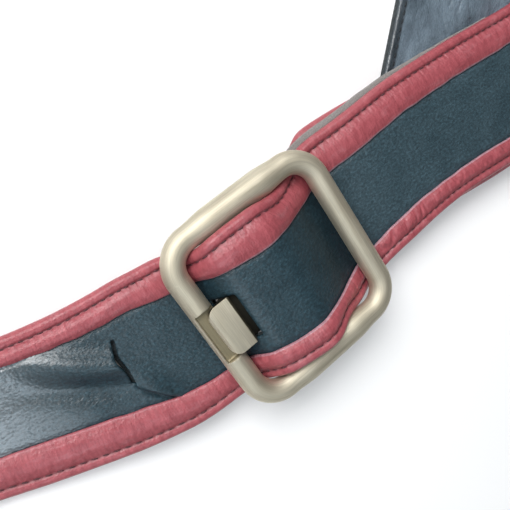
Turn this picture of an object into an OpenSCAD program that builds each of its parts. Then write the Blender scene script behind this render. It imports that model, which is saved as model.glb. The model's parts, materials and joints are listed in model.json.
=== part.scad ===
// Bound leather guitar strap, closed with a centre bar buckle.
// Millimetres. The strap lies on the plane z = 0, and the origin is the middle of the button hole
// in the short strap's end tab. The strap runs along -X from there to the buckle, and on round
// a loop that stands on its edge, back to the other end tab, tucked under the short strap.

/* [Strap] */
// Finished width of the strap over its bindings
strap_w = 50; // [46:1:56]
// Width that the strap is drawn in to where it passes the buckle
waist_w = 45; // [40:0.5:46]
// Length over which the strap comes back to its full width beside the buckle
waist_len = 10; // [8:1:30]
// Width that the long strap narrows to, away from the buckle
body_w = 45; // [43:1:50]
// Distance from the left bar to where the long strap starts to narrow
taper_from = 10; // [5:1:20]
// Length over which the long strap narrows
taper_len = 70; // [50:5:90]
// Thickness of the face leather
face_t = 1.0; // [0.7:0.1:1.4]
// Thickness of the stiffening core
core_t = 0.5; // [0.3:0.1:1]
// Thickness of the lining leather
lining_t = 0.8; // [0.5:0.1:1.2]
// Width of the binding on each side of the strap
binding_w = 10; // [6:0.5:14]
// Thickness of the binding leather
binding_t = 0.6; // [0.4:0.1:1]
// Distance from the strap's edge to its row of sewing
sewing_inset = 3.3; // [2:0.1:5]
// Width of the sewing thread
thread_w = 0.8; // [0.5:0.1:1.2]
// Thickness of the sewing thread
thread_t = 0.3; // [0.2:0.1:0.6]
// Clearance between glued or sewn layers
seam_gap = 0.1; // [0.05:0.05:0.2]
// Clearance under the sewing thread
stitch_gap = 0.02; // [0.01:0.01:0.05]
// Clearance between leather pieces that only lie on each other
lay_gap = 0.3; // [0.2:0.1:0.6]

/* [Long strap] */
// Length of tail past the middle of the buckle
tail_len = 150; // [120:5:170]
// Drift of the tail to one side, just right of the buckle
tail_drift = 3.5; // [0:0.5:5]
// Place across the table that the tail bends back to, at its tip
tail_back = -1; // [-4:0.5:3]
// Distance from the centre bar to where the tail starts to bend back
tail_back_from = 60; // [55:5:80]
// Radius of the strap's turn to one side, left of the buckle
yaw_r = 220; // [180:5:300]
// Angle that the strap turns through
yaw_angle = 26; // [15:1:28]
// Distance from the centre bar to the start of the turn
yaw_start = 10; // [10:1:20]
// Drift of the strap to one side, just left of the buckle
left_drift = 2; // [0:0.5:3]
// Length over which the strap comes down to the table
descent_len = 75; // [55:1:85]
// Flat length left of the buckle, before the strap turns on its edge
flat_len = 95; // [90:5:120]
// Length of each twist between lying flat and standing on edge
twist_len = 95; // [75:5:140]
// Radius of the standing loop at its two ends
loop_r = 70; // [55:5:90]
// Distance from the slot in use to the spare slot
slot_pitch = 35; // [30:1:45]
// Length of a spare slot, across the strap
slot_len = 15; // [12:0.5:17]
// Distance of the spare slot from the strap's middle line
slot_aside = 2; // [0:0.5:4]
// Width of a spare slot
slot_w = 2.2; // [1.5:0.1:3]

/* [Short strap] */
// Length from the middle of the buckle to the short strap's end
short_len = 170; // [165:5:200]
// Drift of the short strap to one side, just right of the buckle
short_drift = 6.5; // [0:0.5:7]
// Place across the table that the short strap bends back to, at its sewn end
short_back = -3; // [-4:0.5:3]
// Distance from the centre bar to where the short strap starts to bend back
short_back_from = 36; // [36:1:50]
// Length over which the short strap bends back
short_back_len = 80; // [60:5:100]
// Width of the leather that wraps the centre bar
wrap_w = 40; // [34:1:42]
// Distance from the centre bar to the end of the turned-back flap
flap_len = 38; // [32:1:45]
// Distance from the centre bar to where the core, lining and bindings stop
trim_x = 15; // [14:0.5:18]
// Length over which the leather narrows from there to wrap the centre bar
neck_len = 3; // [2:0.5:4]
// Clearance of the wrapped leather's slot beside the tongue's eye
eye_room = 1.5; // [1:0.5:2]

/* [End tabs] */
// Width of an end tab, and the diameter of its round end
tab_w = 50; // [44:1:52]
// Distance from the button hole to the sewn end of the tab
tab_len = 85; // [75:1:100]
// Thickness of each of the tab's two leathers
tab_t = 1.4; // [1:0.1:2]
// Diameter of the button hole
hole_d = 9; // [7:0.5:12]
// Length of the slit beside the button hole
slit_len = 9; // [6:0.5:14]
// Width of the slit
slit_w = 1.2; // [0.8:0.1:2]
// Length over which the strap is sewn onto its tab
lap_len = 25; // [18:1:35]
// Angle between the long strap's tab and the strap that it is tucked under
tuck_angle = 42; // [35:0.5:50]
// Place of the tucked tab's button hole, along the strap from the middle of the buckle
tuck_x = 82; // [75:0.5:86]
// Place of the tucked tab's button hole, across the strap
tuck_y = 2.5; // [0:0.5:6]

/* [Buckle] */
// Diameter of the frame's two bars across the strap
bar_d = 7.4; // [6.5:0.1:8]
// Diameter of the frame's two side bars, at their middle
side_d = 8.8; // [8:0.1:9.6]
// Length over which a side bar swells from the corner
swell_len = 9; // [5:0.5:12]
// Outer length of the frame, along the strap
frame_len = 61; // [59:1:66]
// Inside corner radius of the frame
corner_r = 5.2; // [4:0.2:6.6]
// Clearance from each side of the strap to the frame
side_gap = 1.1; // [0.9:0.1:2.2]
// Clearance from the frame's bars down to the strap
bar_gap = 1.8; // [1.6:0.1:2.4]
// Diameter of the centre bar
pin_d = 5; // [4:0.5:5.5]
// Clearance of the centre bar in its press-fit holes
press_gap = 0.01; // [0:0.005:0.02]
// Depth of the centre bar's holes into the frame
pin_seat = 4; // [2:0.5:5]

/* [Tongue] */
// Width of the tongue
tongue_w = 15.5; // [12:0.5:17]
// Running clearance of the tongue's eye on the centre bar
eye_gap = 0.05; // [0.02:0.01:0.1]
// Wall of the tongue's eye
eye_wall = 1.75; // [1.4:0.05:1.9]
// Thickness of the tongue's arm
arm_t = 2.2; // [1.8:0.1:2.4]
// Height of the arm's top over the middle of the bars
arm_top = 1.2; // [0.8:0.1:1.6]
// Length of the thick tip that shows beside the frame
tip_len = 8.5; // [7.5:0.5:10]
// Thickness of the tip over the notch
tip_t = 2.9; // [2.4:0.1:3.6]
// Radius of the tip's corners
tip_r = 3.2; // [1.5:0.1:4]
// Bevel along the tip's top edges
tip_bevel = 0.8; // [0.4:0.1:1.2]
// Length of the step between the arm and the tip's underside
step_len = 2; // [1.5:0.1:2.4]
// Height of the notch floor over the middle of the bar
notch_z = 1.4; // [1:0.1:2.6]
// Radius of the notch's lower corners
notch_r = 1; // [0.6:0.1:1.2]
// Clearance of the tip in its notch, and over the floor
notch_gap = 0.35; // [0.35:0.05:0.6]
// Height left over the arm for it to lift under the tail
lift_room = 2.4; // [2.2:0.1:2.8]
// Distance from the centre bar to where the tail starts down to the left bar
crest_x = 13; // [12:0.5:14]
// Radius of the tail's fold there
crest_r = 5; // [4:0.5:5.5]
// Distance from that fold's crest to the edge of the slot in use
slot_lip = 0.8; // [0.4:0.1:1.2]
// Clearance of the slot in use round the tongue
slot_gap = 0.8; // [0.6:0.1:1.2]
// Corner radius of the slot in use
slot_r = 2; // [1:0.5:2.5]

/* [Hidden] */
$fn = 64;
// Thicknesses of the strap, and its levels from the middle of its body
body_t = face_t + core_t + lining_t + 2 * seam_gap;
half_body = body_t / 2;
half_edge = half_body + seam_gap + binding_t;
leather_inset = seam_gap + binding_t;
strap_half = strap_w / 2 - leather_inset;
waist_half = waist_w / 2 - leather_inset;
body_half = body_w / 2 - leather_inset;
wrap_half = wrap_w / 2;

// The buckle's bars, in its own middle plane
bar_r = bar_d / 2;
side_r = side_d / 2;
pin_r = pin_d / 2;
frame_x = frame_len / 2 - bar_r;
frame_y = waist_w / 2 + side_gap + side_r;
corner_mid_r = corner_r + bar_r;
pin_len = 2 * (frame_y - side_r + pin_seat);

// Levels: the flap lies on the table, then the short strap, the tail and the frame over it
wrap_under = pin_r + lay_gap - (half_body - face_t);
tail_under = bar_r + bar_gap + half_edge;
short_under = tail_under + 2 * half_edge + lay_gap + thread_t;
flap_under = short_under + half_edge + lay_gap - (half_body - face_t);
frame_z = flap_under + half_body;
tab_stack = 2 * tab_t + seam_gap;
rise = tab_stack + lay_gap - (frame_z - short_under - half_edge);
rise_from = frame_x + bar_r;
rise_len = 20;

// The tongue, the fold that holds the tail over its arm, and the slot that it stands in
arm_low = arm_top - arm_t;
tip_end = frame_x;
tip_x = tip_end - tip_len;
tip_base = notch_z + notch_gap;
tip_top = tip_base + tip_t;
eye_r = pin_r + eye_gap + eye_wall;
crest_z = arm_top + lift_room + half_body - crest_r;
slot_left = -tip_x - step_len - slot_gap;
slot_right = -crest_x - slot_lip;
used_w = tongue_w + 2 * slot_gap;

// Bends of the strap round the bars, each as x, z and a radius that is negative under the bar
right_bend = [frame_x, frame_z, -tail_under];
pin_bend = [0, frame_z, pin_r + 2 * lay_gap + face_t + half_edge];
crest_bend = [-crest_x, frame_z + crest_z, crest_r];
left_bend = [-frame_x, frame_z, -tail_under];
short_bend = [frame_x, frame_z, -short_under];
wrap_bend = [0, frame_z, wrap_under];
flap_bend = [frame_x, frame_z, flap_under];

// Where the straps start to drift aside in the buckle, and over what length
drift_from = 14;
drift_len = 22;

// The turn left of the buckle: its angle at the left bar, and its length past that bar
bar_turn = asin((frame_x - yaw_start) / yaw_r);
yaw_run = yaw_r * (yaw_angle - bar_turn) * PI / 180;
spare_u = slot_pitch - frame_x - (slot_left + slot_right) / 2;

// The standing loop, from the flat stretch on the left to the tab on the right
lap_rise = tab_stack + lay_gap;
lap_run = 15;
strap_end = tab_len - lap_len;
twist_end = tab_len + lap_run;
tuck_back = [cos(tuck_angle), sin(tuck_angle)];
tuck_hole = [tuck_x, tuck_y];
loop_in = left_plan(flat_len) + twist_len * heading_dir(180 - yaw_angle);
loop_out = tuck_hole + (twist_end + twist_len) * tuck_back;
centre_in = loop_in + loop_r * right_dir(180 - yaw_angle);
centre_out = loop_out + loop_r * right_dir(180 + tuck_angle);
back_dir = atan2(centre_out[1] - centre_in[1], centre_out[0] - centre_in[0]);

// The origin's place from the middle of the buckle
short_hole = [short_len + strap_end, short_back];

// Angle steps of the bends, and the number of steps along the other stretches
bend_step = 14;
loop_step = 15;
twist_steps = 18;
left_steps = 14;
level_steps = 6;
rise_steps = 6;
climb_steps = 4;
// Longer than any cut that has to pass right through
reach = 100;

// Smooth step from 0 to 1, and its slope
function ease(v) = let (c = max(0, min(1, v))) c * c * (3 - 2 * c);
function ease_slope(v) = let (c = max(0, min(1, v))) 6 * c * (1 - c);

// Plan directions of a heading: forward, and to its right
function heading_dir(a) = [cos(a), sin(a)];
function right_dir(a) = [sin(a), -cos(a)];

// A station of a strap is [point, heading, pitch, roll, half width of the leather].
// Its axes point forward, across the strap, and out of the strap's face.
function ahead(s) = [cos(s[2]) * cos(s[1]), cos(s[2]) * sin(s[1]), sin(s[2])];
function level_across(s) = [sin(s[1]), -cos(s[1]), 0];
function level_out(s) = cross(level_across(s), ahead(s));
function across(s) = cos(s[3]) * level_across(s) + sin(s[3]) * level_out(s);
function out(s) = cos(s[3]) * level_out(s) - sin(s[3]) * level_across(s);

// A section is its points and the triangles that close its ends. Each point is
// [side, offset from that side's leather edge, height from mid body].
function ring(s, section) = [for (q = section[0])
    s[0] + across(s) * (q[0] * s[4] + q[1]) + out(s) * q[2]];

// Two triangles between neighbouring rings, with the same diagonal on both faces of a layer
function wall(a, b, c, d, rightward) =
    rightward ? [[a, b, c], [a, c, d]] : [[a, b, d], [b, c, d]];

// One solid of constant section along a list of stations
module sweep(stations, section) {
    n = len(section[0]);
    m = len(stations);
    far = [for (q = section[0]) q[0] * strap_half + q[1]];
    points = [for (s = stations) each ring(s, section)];
    walls = [for (i = [0:m - 2], k = [0:n - 1]) let (j = (k + 1) % n)
        each wall(i * n + k, i * n + j, (i + 1) * n + j, (i + 1) * n + k, far[j] > far[k])];
    first = [for (c = section[1]) [c[2], c[1], c[0]]];
    last = [for (c = section[1]) [for (k = c) (m - 1) * n + k]];
    polyhedron(points, concat(first, walls, last));
}

// Pitch of the straight run between two bends, and the stations round a bend as [x, z, pitch]
function run_pitch(a, b) = let (d = a[0] - b[0], h = b[1] - a[1])
    atan2(h, d) - asin((a[2] - b[2]) / norm([d, h]));
function round_bend(b, from, to) = let (count = max(1, ceil(abs(to - from) / bend_step)))
    [for (i = [0:count]) let (p = from + (to - from) * i / count)
        [b[0] + b[2] * sin(p), b[1] + b[2] * cos(p), p]];

// The level run right of the buckle, climbing onto the tucked tab, as [x, z, pitch]
function right_run(z, far_x) = concat(
    [for (i = [0:level_steps - 1]) let (v = i / level_steps)
        [far_x + (rise_from + rise_len - far_x) * v, z + rise, 0]],
    [for (i = [rise_steps:-1:1]) let (v = i / rise_steps)
        [rise_from + v * rise_len, z + rise * ease(v), -atan(rise * ease_slope(v) / rise_len)]]);

// Width of the straps beside the buckle
function drawn_in(x) = waist_half
    + (strap_half - waist_half) * ease((abs(x) - frame_x + bar_r / 2) / waist_len);

// Sideways place right of the buckle, for a bend given as [drift, place bent back to, from, length]
function side_way(x, bend) = ease((x - drift_from) / drift_len)
    * (bend[0] + (bend[1] - bend[0]) * ease((x - bend[2]) / bend[3]));

// A station on the way through the buckle, at [x, z, pitch], always parallel to the bars
function line_station(q, bend) = let (t = asin(max(0, -q[0] - yaw_start) / yaw_r))
    [[q[0], side_way(q[0], bend) + yaw_r * (1 - cos(t)), q[1]], 180, q[2], 0, drawn_in(q[0])];

// The long strap from the tip of its tail to the left bar
tail_bend = [tail_drift, tail_back, tail_back_from, tail_len - tail_back_from - 2 * binding_w];
pin_pitch = run_pitch(right_bend, pin_bend);
crest_pitch = run_pitch(pin_bend, crest_bend);
left_pitch = run_pitch(crest_bend, left_bend);
tail_line = concat(right_run(frame_z - tail_under, tail_len),
    round_bend(right_bend, 0, pin_pitch),
    round_bend(pin_bend, pin_pitch, crest_pitch),
    round_bend(crest_bend, crest_pitch, left_pitch),
    round_bend(left_bend, left_pitch, 0));
tail_stations = [for (q = tail_line) line_station(q, tail_bend)];

// The stretch left of the buckle: its plan, heading and height at a distance from the left bar
function left_turn(u) = bar_turn + min(yaw_angle - bar_turn, u * 180 / (PI * yaw_r));
function left_plan(u) = let (t = left_turn(u))
    [-yaw_start - yaw_r * sin(t), yaw_r * (1 - cos(t)) + left_drift * ease(u / drift_len)]
    + max(0, u - yaw_run) * heading_dir(180 - t);
function left_heading(u) = 180 - left_turn(u) * ease(u / drift_len);
function left_half(u) = strap_half - (strap_half - body_half) * ease((u - taper_from) / taper_len);
drop = frame_z - tail_under - half_edge;
function left_station(u) = let (v = u / descent_len, g = left_plan(u))
    [[g[0], g[1], half_edge + drop * (1 - ease(v))], left_heading(u),
        -atan(drop * ease_slope(v) / descent_len), 0, min(drawn_in(g[0]), left_half(u))];
left_stations = [for (i = [1:left_steps - 1]) left_station(flat_len * i / left_steps)];

// Height of mid body for a strap that rolls about the edge that stays on the table
function rolled_z(roll) = body_w / 2 * sin(roll) + half_edge * cos(roll);
function standing(plan, heading, roll, lift) =
    [[plan[0], plan[1], rolled_z(roll) + lift], heading, 0, roll, body_half];
function loop_bend(centre, from, to) = let (count = ceil((from - to) / loop_step))
    [for (i = [0:count]) let (a = from + (to - from) * i / count)
        standing(centre - loop_r * right_dir(a), a, 90, 0)];

// The twist up, the loop, the twist down, and the end that climbs onto the tab
twist_up = [for (i = [0:twist_steps - 1]) let (v = i / twist_steps)
    standing(left_plan(flat_len) + v * twist_len * heading_dir(180 - yaw_angle), 180 - yaw_angle,
        90 * ease(v), 0)];
twist_down = [for (i = [1:twist_steps]) let (v = i / twist_steps)
    standing(loop_out - v * twist_len * tuck_back, tuck_angle - 180, 90 - 90 * ease(v), 0)];
climb = [for (i = [1:climb_steps]) let (v = i / climb_steps)
    standing(tuck_hole + (twist_end - v * lap_run) * tuck_back, tuck_angle - 180, 0,
        lap_rise * ease(v))];
sewn_end = [standing(tuck_hole + strap_end * tuck_back, tuck_angle - 180, 0, lap_rise)];
long_stations = concat(tail_stations, left_stations, twist_up,
    loop_bend(centre_in, 180 - yaw_angle, back_dir),
    loop_bend(centre_out, back_dir, tuck_angle - 180),
    twist_down, climb, sewn_end);

// The short strap from its sewn end to the buckle, round the centre bar and back as a flap
short_side_bend = [short_drift, short_back, short_back_from, short_back_len];
rise_pitch = run_pitch(short_bend, wrap_bend);
flap_pitch = run_pitch(wrap_bend, flap_bend) - 360;
short_line = concat(right_run(frame_z - short_under, short_len),
    round_bend(short_bend, 0, rise_pitch));
short_stations = [for (q = short_line) line_station(q, short_side_bend)];
wrap_line = concat(round_bend(wrap_bend, rise_pitch, flap_pitch),
    round_bend(flap_bend, flap_pitch, -180),
    [[flap_len, frame_z - flap_under, -180]]);
wrap_stations = [for (q = wrap_line) [[q[0], 0, q[1]], 180, q[2], 0, wrap_half]];
// Where the inner layers and bindings stop, on the slope up to the centre bar
slope_foot = short_line[len(short_line) - 1];
function slope_station(x, half) =
    [[x, side_way(x, short_side_bend), slope_foot[1] + (slope_foot[0] - x) * tan(rise_pitch)],
        180, rise_pitch, 0, half];
trim_station = slope_station(trim_x, drawn_in(trim_x));
neck_station = slope_station(trim_x - neck_len, wrap_half);
short_face_stations = concat(short_stations, [trim_station, neck_station], wrap_stations);
short_inner_stations = concat(short_stations, [trim_station]);

// Sections: a layer of the body, a folded binding and a line of thread
fold_in = leather_inset - binding_w;
function layer(bottom, top) = [[[-1, 0, bottom], [-1, -fold_in, bottom], [1, fold_in, bottom],
    [1, 0, bottom], [1, 0, top], [1, fold_in, top], [-1, -fold_in, top], [-1, 0, top]],
    [[0, 1, 6], [0, 6, 7], [1, 2, 5], [1, 5, 6], [2, 3, 4], [2, 4, 5]]];
face_section = layer(half_body - face_t, half_body);
core_section = layer(lining_t - half_body + seam_gap, half_body - face_t - seam_gap);
lining_section = layer(-half_body, lining_t - half_body);
fold_z = half_body + seam_gap;
function mirrored(section) = let (last = len(section[0]) - 1)
    [[for (i = [last:-1:0]) let (q = section[0][i]) [-q[0], -q[1], q[2]]],
        [for (c = section[1]) [last - c[2], last - c[1], last - c[0]]]];
thread_out = leather_inset - sewing_inset + thread_w / 2;
thread_in = thread_out - thread_w;
thread_z = half_edge + stitch_gap;
far_binding = [[[1, fold_in, -half_edge], [1, leather_inset, -half_edge], [1, leather_inset, half_edge],
    [1, thread_out, half_edge], [1, thread_in, half_edge], [1, fold_in, half_edge],
    [1, fold_in, fold_z], [1, seam_gap, fold_z], [1, seam_gap, -fold_z], [1, fold_in, -fold_z]],
    [[0, 1, 8], [0, 8, 9], [1, 2, 7], [1, 7, 8], [2, 3, 7], [3, 4, 7], [4, 5, 6], [4, 6, 7]]];
far_thread = [[[1, thread_in, thread_z], [1, thread_out, thread_z],
    [1, thread_out, thread_z + thread_t], [1, thread_in, thread_z + thread_t]],
    [[0, 1, 2], [0, 2, 3]]];

navy = [0.12, 0.17, 0.21];
navy_dark = [0.09, 0.12, 0.15];
rose = [0.62, 0.27, 0.31];
thread_red = [0.36, 0.12, 0.16];
webbing = [0.75, 0.72, 0.66];
nickel = [0.72, 0.69, 0.62];

// Places what is modelled from the middle of the buckle
module from_buckle() translate([-short_hole[0], -short_hole[1], 0]) children();

// The slot that the tongue stands in, and the spare slot
module slots() {
    inner = [slot_right - slot_left - 2 * slot_r, used_w - 2 * slot_r];
    translate([(slot_left + slot_right) / 2, 0, drop])
        linear_extrude(reach) {
            square([inner[0], used_w], center = true);
            square([slot_right - slot_left, inner[1]], center = true);
            for (sx = [-1, 1], sy = [-1, 1])
                translate([sx * inner[0] / 2, sy * inner[1] / 2]) circle(r = slot_r);
        }
    translate([left_plan(spare_u)[0], left_plan(spare_u)[1], -lay_gap])
        rotate([0, 0, -left_turn(spare_u)])
        translate([-slot_w / 2, slot_aside - slot_len / 2, 0])
        cube([slot_w, slot_len, frame_z]);
}

module long_layer(section) from_buckle() difference() {
    sweep(long_stations, section);
    slots();
}

module long_face() { color(navy) long_layer(face_section); }
module long_core() { color(webbing) long_layer(core_section); }
module long_lining() { color(navy_dark) long_layer(lining_section); }
module long_binding_far() { color(rose) from_buckle() sweep(long_stations, far_binding); }
module long_binding_near() { color(rose) from_buckle() sweep(long_stations, mirrored(far_binding)); }
module long_thread_far() { color(thread_red) from_buckle() sweep(long_stations, far_thread); }
module long_thread_near() {
    color(thread_red) from_buckle() sweep(long_stations, mirrored(far_thread));
}

// A strip folded over the cut tip of the tail, between the two side bindings
module tail_end_binding() {
    span = 2 * (strap_half - seam_gap + leather_inset - binding_w);
    color(rose) from_buckle()
        translate([tail_len, tail_back + span / 2, frame_z - tail_under + rise])
        rotate([90, 0, 0]) linear_extrude(span) difference() {
            translate([-binding_w, -half_edge]) square([binding_w + leather_inset, 2 * half_edge]);
            translate([-binding_w, -fold_z]) square([binding_w + seam_gap, 2 * fold_z]);
        }
}

module short_face() {
    color(navy) from_buckle() difference() {
        sweep(short_face_stations, face_section);
        translate([-eye_r - eye_room, -used_w / 2, frame_z - eye_r - lay_gap])
            cube([2 * (eye_r + eye_room), used_w, reach]);
    }
}
module short_core() { color(webbing) from_buckle() sweep(short_inner_stations, core_section); }
module short_lining() { color(navy_dark) from_buckle() sweep(short_inner_stations, lining_section); }
module short_binding_far() { color(rose) from_buckle() sweep(short_inner_stations, far_binding); }
module short_binding_near() {
    color(rose) from_buckle() sweep(short_inner_stations, mirrored(far_binding));
}
module short_thread_far() { color(thread_red) from_buckle() sweep(short_inner_stations, far_thread); }
module short_thread_near() {
    color(thread_red) from_buckle() sweep(short_inner_stations, mirrored(far_thread));
}

// One leather of an end tab: round at the button hole, square where it is sewn to the strap at -X
module tab_leather(level) {
    translate([0, 0, level]) linear_extrude(tab_t) difference() {
        union() {
            circle(d = tab_w);
            translate([-tab_len, -tab_w / 2]) square([tab_len, tab_w]);
        }
        circle(d = hole_d);
        translate([-hole_d / 2 - slit_len, -slit_w / 2]) square([slit_len + hole_d / 2, slit_w]);
        translate([-hole_d / 2 - slit_len, 0]) circle(d = 2 * slit_w);
    }
}
module tucked() {
    from_buckle() translate([tuck_x, tuck_y, 0]) rotate([0, 0, tuck_angle + 180]) children();
}

module long_tab_top() { color(navy) tucked() tab_leather(tab_t + seam_gap); }
module long_tab_back() { color(navy_dark) tucked() tab_leather(0); }
module short_tab_top() { color(navy) tab_leather(tab_t + seam_gap); }
module short_tab_back() { color(navy_dark) tab_leather(0); }

// The notch that the tongue's tip rests in, with rounded lower corners
module notch() {
    notch_len = tongue_w + 2 * notch_gap;
    translate([-frame_x, 0, notch_z]) rotate([90, 0, 90]) linear_extrude(2 * bar_d, center = true) {
        translate([-notch_len / 2, notch_r]) square([notch_len, bar_d]);
        translate([notch_r - notch_len / 2, 0]) square([notch_len - 2 * notch_r, bar_d]);
        for (side = [-1, 1])
            translate([side * (notch_len / 2 - notch_r), notch_r]) circle(r = notch_r);
    }
}

// A rounded square of round bar, with a notch for the tongue and two seats for the centre bar
module buckle_frame() {
    straight_x = frame_x - corner_mid_r;
    straight_y = frame_y - corner_mid_r;
    full_x = straight_x - swell_len;
    color(nickel) from_buckle() translate([0, 0, frame_z]) difference() {
        union() {
            for (side = [-1, 1]) {
                translate([side * frame_x, 0, 0]) rotate([90, 0, 0])
                    cylinder(r = bar_r, h = 2 * straight_y, center = true);
                translate([0, side * frame_y, 0]) rotate([0, 90, 0])
                    cylinder(r = side_r, h = 2 * full_x, center = true);
                for (end = [-1, 1])
                    translate([end * full_x, side * frame_y, 0]) rotate([0, end * 90, 0])
                        cylinder(r1 = side_r, r2 = bar_r, h = swell_len);
            }
            for (sx = [-1, 1], sy = [-1, 1])
                translate([sx * straight_x, sy * straight_y, 0])
                    rotate([0, 0, sx > 0 ? (sy > 0 ? 0 : 270) : (sy > 0 ? 90 : 180)])
                    rotate_extrude(angle = 90) translate([corner_mid_r, 0]) circle(r = bar_r);
        }
        notch();
        rotate([90, 0, 0]) cylinder(r = pin_r + press_gap, h = pin_len, center = true);
    }
}

module centre_bar() {
    color(nickel) from_buckle() translate([0, 0, frame_z]) rotate([90, 0, 0])
        cylinder(r = pin_r, h = pin_len, center = true);
}

// A flat arm from an eye on the centre bar, stepped up to a thick tip in the frame's notch
module tongue() {
    color(nickel) from_buckle() translate([0, 0, frame_z]) difference() {
        intersection() {
            rotate([90, 0, 0]) {
                cylinder(r = eye_r, h = tongue_w, center = true);
                linear_extrude(tongue_w, center = true)
                    polygon([[0, arm_low], [-tip_x - step_len, arm_low],
                        [-tip_x - 2 * step_len, tip_base], [-tip_end, tip_base],
                        [-tip_end, tip_top - tip_bevel], [-tip_end + tip_bevel, tip_top],
                        [-tip_x - tip_bevel, tip_top], [-tip_x, tip_top - tip_bevel],
                        [-tip_x, arm_top], [0, arm_top]]);
            }
            linear_extrude(reach, center = true) union() {
                translate([-tip_end + tip_r, -tongue_w / 2]) square([tip_end + eye_r, tongue_w]);
                translate([-tip_end, tip_r - tongue_w / 2]) square([tip_end, tongue_w - 2 * tip_r]);
                for (side = [-1, 1])
                    translate([tip_r - tip_end, side * (tongue_w / 2 - tip_r)]) circle(r = tip_r);
            }
        }
        rotate([90, 0, 0]) cylinder(r = pin_r + eye_gap, h = 2 * tongue_w, center = true);
    }
}

buckle_frame();
centre_bar();
tongue();
long_face();
long_core();
long_lining();
long_binding_near();
long_binding_far();
long_thread_near();
long_thread_far();
tail_end_binding();
long_tab_top();
long_tab_back();
short_face();
short_core();
short_lining();
short_binding_near();
short_binding_far();
short_thread_near();
short_thread_far();
short_tab_top();
short_tab_back();
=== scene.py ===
import json
import math
from collections import namedtuple
from functools import partial

import bmesh
import bpy
import numpy as np
from mathutils import Matrix, Vector


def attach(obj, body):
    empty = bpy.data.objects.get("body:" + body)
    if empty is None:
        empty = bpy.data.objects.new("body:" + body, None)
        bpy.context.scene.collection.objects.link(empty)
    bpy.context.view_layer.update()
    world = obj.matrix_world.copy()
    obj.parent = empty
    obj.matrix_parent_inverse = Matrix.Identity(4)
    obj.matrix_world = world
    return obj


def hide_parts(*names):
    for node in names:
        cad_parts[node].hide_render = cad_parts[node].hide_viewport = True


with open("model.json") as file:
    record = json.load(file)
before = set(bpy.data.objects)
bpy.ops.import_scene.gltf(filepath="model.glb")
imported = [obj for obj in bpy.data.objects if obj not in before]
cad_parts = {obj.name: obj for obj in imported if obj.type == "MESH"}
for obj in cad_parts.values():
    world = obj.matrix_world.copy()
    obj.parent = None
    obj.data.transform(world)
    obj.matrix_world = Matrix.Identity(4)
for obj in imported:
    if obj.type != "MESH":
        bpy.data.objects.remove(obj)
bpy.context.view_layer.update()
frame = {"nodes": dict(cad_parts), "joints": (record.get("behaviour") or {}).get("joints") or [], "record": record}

# Lengths are millimetres, in plan from the middle of the buckle and in height from the table
MM = 0.001
pivot = np.array(frame["joints"][0]["pos_m"]) / MM
BUCKLE = np.array([pivot[0], pivot[1], 0.0])
FRAME_Z = pivot[2]


def to_row(points):
    """Millimetres from the buckle to metres in the row frame."""
    return (np.asarray(points, float) + BUCKLE) * MM


def linked(name, data):
    """A new object in the scene."""
    obj = bpy.data.objects.new(name, data)
    bpy.context.scene.collection.objects.link(obj)
    return obj


# The camera stands over the left of the buckle and looks down at it, turned along the strap
CAMERA_PLACE = (-45.3, 58.1, FRAME_Z + 154.5)
CAMERA_RIGHT = Vector((0.75534, -0.5427, 0.36734))
CAMERA_UP = Vector((0.6059, 0.79191, -0.07593))
SENSOR = 36.0
FOCAL_PIXELS = 560.0
IMAGE_PIXELS = 510.0


def make_camera():
    data = bpy.data.cameras.new("camera")
    data.sensor_width = SENSOR
    data.lens = SENSOR * FOCAL_PIXELS / IMAGE_PIXELS
    data.clip_start = 0.01
    camera = linked("camera", data)
    back = CAMERA_RIGHT.cross(CAMERA_UP).normalized()
    up = back.cross(CAMERA_RIGHT).normalized()
    turn = Matrix((CAMERA_RIGHT.normalized(), up, back)).transposed()
    camera.matrix_world = Matrix.Translation(to_row(CAMERA_PLACE)) @ turn.to_4x4()
    bpy.context.scene.camera = camera


def new_material(name):
    m = bpy.data.materials.new(name)
    m.use_nodes = True
    return m, m.node_tree, m.node_tree.nodes["Principled BSDF"]


def join(tree, n, links):
    """Link sources to the inputs of a shader node."""
    for socket, source in links:
        tree.links.new(source, n.inputs[socket])


def node(tree, kind, links=(), **values):
    """A shader node, with its properties and socket values set and its inputs linked."""
    n = tree.nodes.new("ShaderNode" + kind)
    for key, value in values.items():
        if key in n.inputs:
            n.inputs[key].default_value = value
        else:
            setattr(n, key, value)
    join(tree, n, links)
    return n


def lie(tree, scale):
    """The lie of the piece, in millimetres times a scale for each of its directions."""
    lay = node(tree, "Attribute", attribute_name="lay")
    return node(tree, "Mapping", [("Vector", lay.outputs["Vector"])], Scale=scale).outputs["Vector"]


def lie_part(tree, axis, scale):
    """One direction of the lie, in millimetres times a scale."""
    return node(tree, "SeparateXYZ", [("Vector", lie(tree, (scale, scale, scale)))]).outputs[axis]


def lumps(tree, scale, detail, rough=0.55):
    """Noise with about one lump for each unit of the scaled lie."""
    n = node(tree, "TexNoise", [("Vector", lie(tree, scale))], Scale=1.0, Detail=detail, Roughness=rough)
    return n.outputs["Fac"]


def pebbles(tree, scale):
    """Rounded cells, as the distance from their middles."""
    n = node(tree, "TexVoronoi", [("Vector", lie(tree, scale))], feature="SMOOTH_F1", Scale=1.0)
    return n.outputs["Distance"]


def ramp(tree, source, stops):
    """Colours, or levels of grey, that change between stops."""
    r = node(tree, "ValToRGB", [("Fac", source)])
    while len(r.color_ramp.elements) < len(stops):
        r.color_ramp.elements.new(0.5)
    for element, (place, color) in zip(r.color_ramp.elements, stops):
        element.position = place
        element.color = (*np.broadcast_to(color, 3), 1)
    return r.outputs["Color"]


def raised(tree, height, distance, strength, under=None):
    """A bump of a height in millimetres, on top of another one where that is given."""
    b = node(tree, "Bump", [("Height", height)], Strength=strength, Distance=distance * MM)
    if under is not None:
        join(tree, b, [("Normal", under)])
    return b.outputs["Normal"]


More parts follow.
